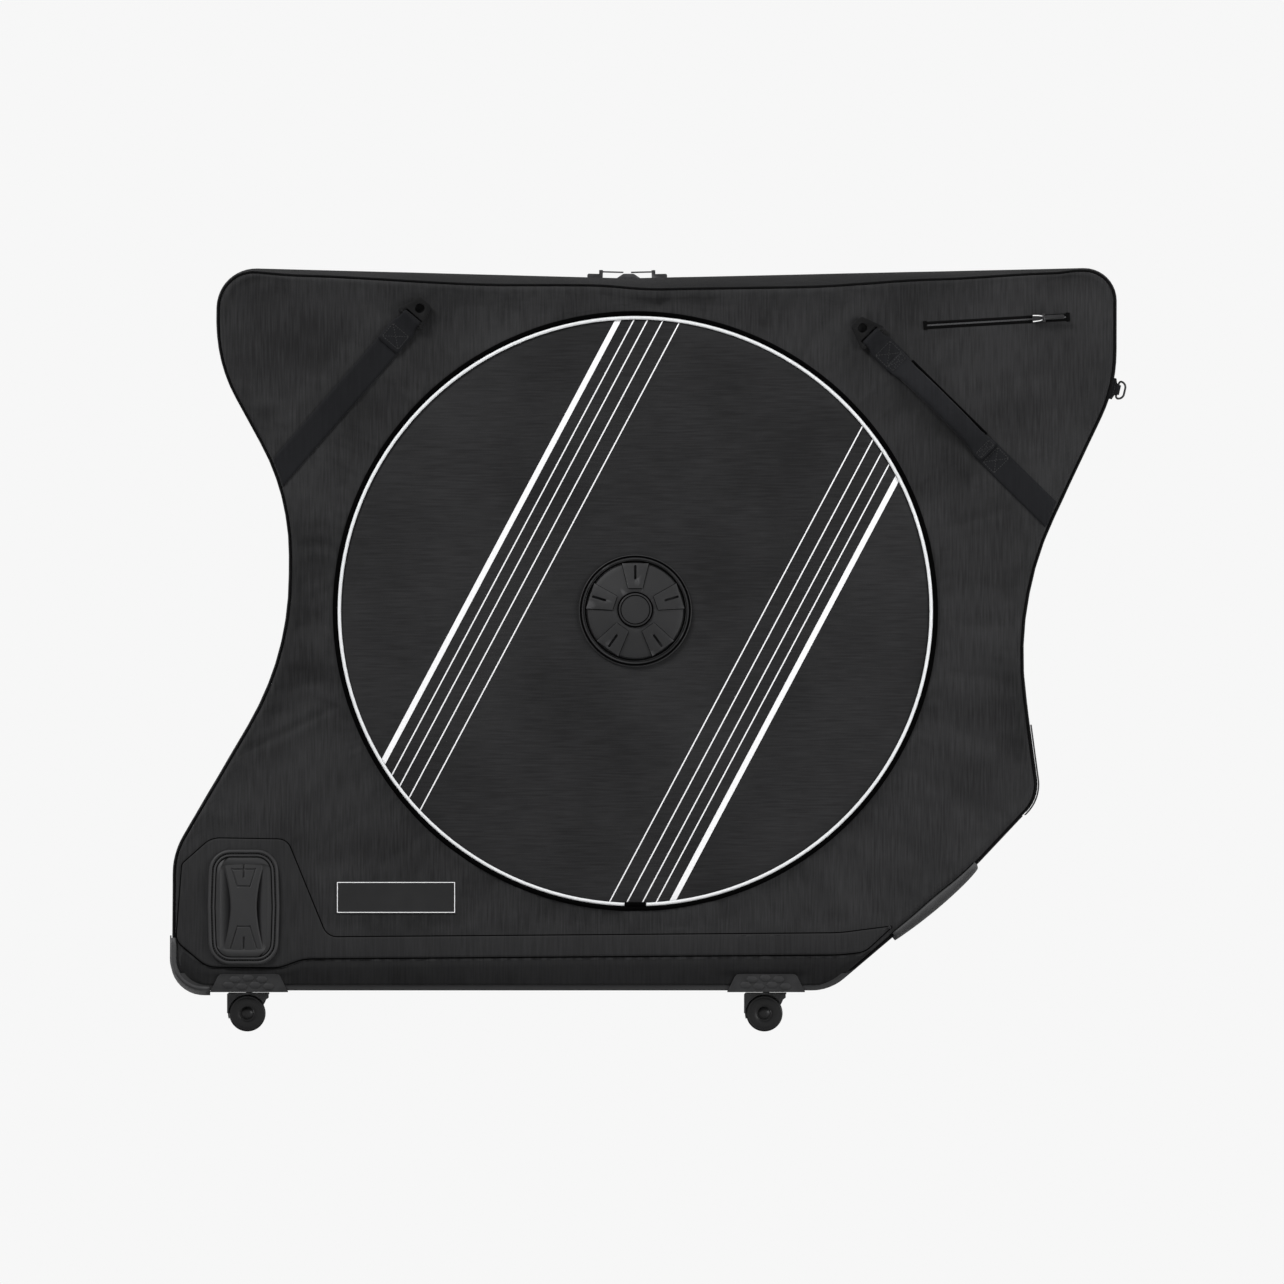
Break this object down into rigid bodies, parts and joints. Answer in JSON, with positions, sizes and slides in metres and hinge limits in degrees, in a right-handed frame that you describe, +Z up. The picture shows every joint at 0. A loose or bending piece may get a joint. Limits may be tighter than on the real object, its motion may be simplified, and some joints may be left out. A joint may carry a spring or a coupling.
{
  "type": "bike travel case",
  "caption": "Padded wheeled travel case for a bicycle, with leaning zipped sides that hinge open, round wheel pockets, sliding axle stands, carry straps and swivel castors.",
  "frame": {"origin": "on the floor, in the middle of the case's bounding box", "axes": "+X from the case's rear to its front, +Z up, -Y out of the near side with the straps and handle"},
  "size_m": [1.1096, 0.4757, 0.8859],
  "materials": {
    "shell_fabric": "streaked woven shell over foam",
    "cover_fabric": "streaked woven",
    "piping": "pale cord in a sewn edge",
    "zip_tape": "close woven",
    "webbing": "smooth woven band",
    "grip_pad": "padded sleeve",
    "moulded_plastic": "fine grained",
    "handle_rubber": "matt",
    "wheel_tread": "smooth",
    "zip_metal": "dark, worn bright at edges",
    "frame_metal": "satin",
    "foam": "closed-cell foam"
  },
  "bodies": {
    "base": {"base_tray": "moulded_plastic", "rear_corner_guard": "moulded_plastic", "front_skid_guard": "moulded_plastic", "inner_frame": "frame_metal", "frame_bolts": "zip_metal", "bottom_bracket_pad": "foam", "castor_plate_rear_near": "moulded_plastic", "castor_plate_rear_far": "moulded_plastic", "castor_plate_front_near": "moulded_plastic", "castor_plate_front_far": "moulded_plastic"},
    "near_side": {"near_side_panel": "shell_fabric", "near_gusset": "shell_fabric", "near_nose_guard": "moulded_plastic", "near_zip_tape": "zip_tape", "near_wheel_pocket": "cover_fabric", "near_wheel_cover": "cover_fabric", "near_cover_piping": "piping", "near_hub_shield": "moulded_plastic", "near_hub_cap": "moulded_plastic", "handle_cup": "moulded_plastic", "handle_strap": "handle_rubber", "rear_strap": "webbing", "front_strap": "webbing", "front_grip": "grip_pad", "document_zip": "zip_tape", "zip_lock": "zip_metal", "dee_tab": "webbing"},
    "far_side": {"far_side_panel": "shell_fabric", "far_gusset": "shell_fabric", "far_nose_guard": "moulded_plastic", "far_zip_tape": "zip_tape", "far_wheel_pocket": "cover_fabric", "far_wheel_cover": "cover_fabric", "far_cover_piping": "piping", "far_hub_shield": "moulded_plastic", "far_hub_cap": "moulded_plastic"},
    "rear_stand": {"rear_carriage": "frame_metal", "rear_post": "frame_metal"},
    "front_stand": {"front_carriage": "frame_metal", "front_post": "frame_metal"},
    "rear_knob": {"rear_knob": "moulded_plastic"},
    "front_knob": {"front_knob": "moulded_plastic"},
    "rear_strap_ring": {"rear_strap_ring": "moulded_plastic"},
    "front_strap_ring": {"front_strap_ring": "moulded_plastic"},
    "document_slider": {"document_slider": "zip_metal"},
    "document_pull": {"document_pull": "zip_metal"},
    "rear_main_slider": {"rear_main_slider": "zip_metal"},
    "front_main_slider": {"front_main_slider": "zip_metal"},
    "rear_main_pull": {"rear_main_pull": "zip_metal"},
    "front_main_pull": {"front_main_pull": "zip_metal"},
    "dee_ring": {"dee_ring": "zip_metal"},
    "castor_hood_rear_near": {"castor_hood_rear_near": "moulded_plastic"},
    "castor_wheels_rear_near": {"castor_wheels_rear_near": "wheel_tread"},
    "castor_hood_rear_far": {"castor_hood_rear_far": "moulded_plastic"},
    "castor_wheels_rear_far": {"castor_wheels_rear_far": "wheel_tread"},
    "castor_hood_front_near": {"castor_hood_front_near": "moulded_plastic"},
    "castor_wheels_front_near": {"castor_wheels_front_near": "wheel_tread"},
    "castor_hood_front_far": {"castor_hood_front_far": "moulded_plastic"},
    "castor_wheels_front_far": {"castor_wheels_front_far": "wheel_tread"}
  },
  "joints": [
    {"name": "near_side_hinge", "type": "hinge", "parent": "base", "child": "near_side", "pos_m": [0, -0.23179, 0.072], "axis": [1, 0, 0], "range_deg": [0, 85]},
    {"name": "far_side_hinge", "type": "hinge", "parent": "base", "child": "far_side", "pos_m": [0, 0.23179, 0.072], "axis": [-1, 0, 0], "range_deg": [0, 85]},
    {"name": "rear_near_swivel", "type": "hinge", "parent": "base", "child": "castor_hood_rear_near", "pos_m": [-0.463, -0.193, 0.046], "axis": [0, 0, 1], "continuous": true},
    {"name": "rear_near_roll", "type": "hinge", "parent": "castor_hood_rear_near", "child": "castor_wheels_rear_near", "pos_m": [-0.465, -0.193, 0.0212], "axis": [0, 1, 0], "continuous": true},
    {"name": "rear_far_swivel", "type": "hinge", "parent": "base", "child": "castor_hood_rear_far", "pos_m": [-0.463, 0.193, 0.046], "axis": [0, 0, 1], "continuous": true},
    {"name": "rear_far_roll", "type": "hinge", "parent": "castor_hood_rear_far", "child": "castor_wheels_rear_far", "pos_m": [-0.465, 0.193, 0.0212], "axis": [0, 1, 0], "continuous": true},
    {"name": "front_near_swivel", "type": "hinge", "parent": "base", "child": "castor_hood_front_near", "pos_m": [0.1367, -0.193, 0.046], "axis": [0, 0, 1], "continuous": true},
    {"name": "front_near_roll", "type": "hinge", "parent": "castor_hood_front_near", "child": "castor_wheels_front_near", "pos_m": [0.1347, -0.193, 0.0212], "axis": [0, 1, 0], "continuous": true},
    {"name": "front_far_swivel", "type": "hinge", "parent": "base", "child": "castor_hood_front_far", "pos_m": [0.1367, 0.193, 0.046], "axis": [0, 0, 1], "continuous": true},
    {"name": "front_far_roll", "type": "hinge", "parent": "castor_hood_front_far", "child": "castor_wheels_front_far", "pos_m": [0.1347, 0.193, 0.0212], "axis": [0, 1, 0], "continuous": true},
    {"name": "rear_stand_slide", "type": "slide", "parent": "base", "child": "rear_stand", "axis": [1, 0, 0], "range_m": [0, 0.09]},
    {"name": "front_stand_slide", "type": "slide", "parent": "base", "child": "front_stand", "axis": [1, 0, 0], "range_m": [-0.09, 0]},
    {"name": "rear_knob_turn", "type": "hinge", "parent": "rear_stand", "child": "rear_knob", "pos_m": [-0.425, -0.08, 0.089], "axis": [0, 0, 1], "continuous": true},
    {"name": "front_knob_turn", "type": "hinge", "parent": "front_stand", "child": "front_knob", "pos_m": [0.138, -0.08, 0.089], "axis": [0, 0, 1], "continuous": true},
    {"name": "rear_ring_swing", "type": "hinge", "parent": "near_side", "child": "rear_strap_ring", "pos_m": [-0.2752, -0.13692, 0.82707], "axis": [0.7581, -0.0851, -0.6465], "range_deg": [0, 120]},
    {"name": "front_ring_swing", "type": "hinge", "parent": "near_side", "child": "front_strap_ring", "pos_m": [0.2595, -0.13982, 0.80506], "axis": [0.7059, 0.0925, 0.7023], "range_deg": [0, 120]},
    {"name": "document_slide", "type": "slide", "parent": "near_side", "child": "document_slider", "axis": [-0.9982, -0.0077, -0.0588], "range_m": [0, 0.115]},
    {"name": "document_pull_swing", "type": "hinge", "parent": "document_slider", "child": "document_pull", "pos_m": [0.4589, -0.13952, 0.82797], "axis": [0.0593, -0.1303, -0.9897], "range_deg": [0, 150]},
    {"name": "rear_zip_slide", "type": "slide", "parent": "near_side", "child": "rear_main_slider", "axis": [-0.9996, 0, 0.0267], "range_m": [0, 0.25]},
    {"name": "front_zip_slide", "type": "slide", "parent": "near_side", "child": "front_main_slider", "axis": [0.9997, 0, 0.0225], "range_m": [0, 0.25]},
    {"name": "rear_pull_swing", "type": "hinge", "parent": "rear_main_slider", "child": "rear_main_pull", "pos_m": [-0.05477, 0, 0.88128], "axis": [0, -1, 0], "range_deg": [0, 160]},
    {"name": "front_pull_swing", "type": "hinge", "parent": "front_main_slider", "child": "front_main_pull", "pos_m": [0.006, 0, 0.88111], "axis": [0, 1, 0], "range_deg": [0, 160]},
    {"name": "dee_swing", "type": "hinge", "parent": "near_side", "child": "dee_ring", "pos_m": [0.54438, -0.12498, 0.74447], "axis": [0.225, 0, 0.9744], "range_deg": [-60, 60]}
  ]
}
